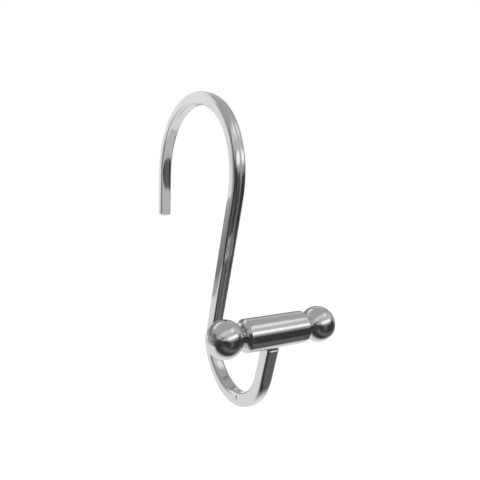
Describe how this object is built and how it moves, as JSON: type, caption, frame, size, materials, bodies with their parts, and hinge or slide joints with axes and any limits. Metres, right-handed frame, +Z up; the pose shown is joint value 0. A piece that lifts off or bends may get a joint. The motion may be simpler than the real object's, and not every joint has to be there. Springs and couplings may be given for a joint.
{
  "type": "shower curtain hook",
  "caption": "Bent square-wire shower curtain hook: a tall loop hangs over the rod, and a low bowl with a ball-ended crossbar holds the curtain's ring.",
  "frame": {"origin": "the rod's seat, at the middle of the crown's inner face, in the hook's middle plane", "axes": "+Z up, against the pull of the curtain; +X along the rod and the crossbar; -Y to the front, where the crossbar is"},
  "size_m": [0.03, 0.0659, 0.0725],
  "materials": {
    "plated_wire": "polished chrome plate on drawn square wire",
    "plated_bar": "polished chrome plate on a turned bar"
  },
  "bodies": {
    "root": {"hook_wire": "plated_wire", "crossbar": "plated_bar"}
  },
  "joints": []
}
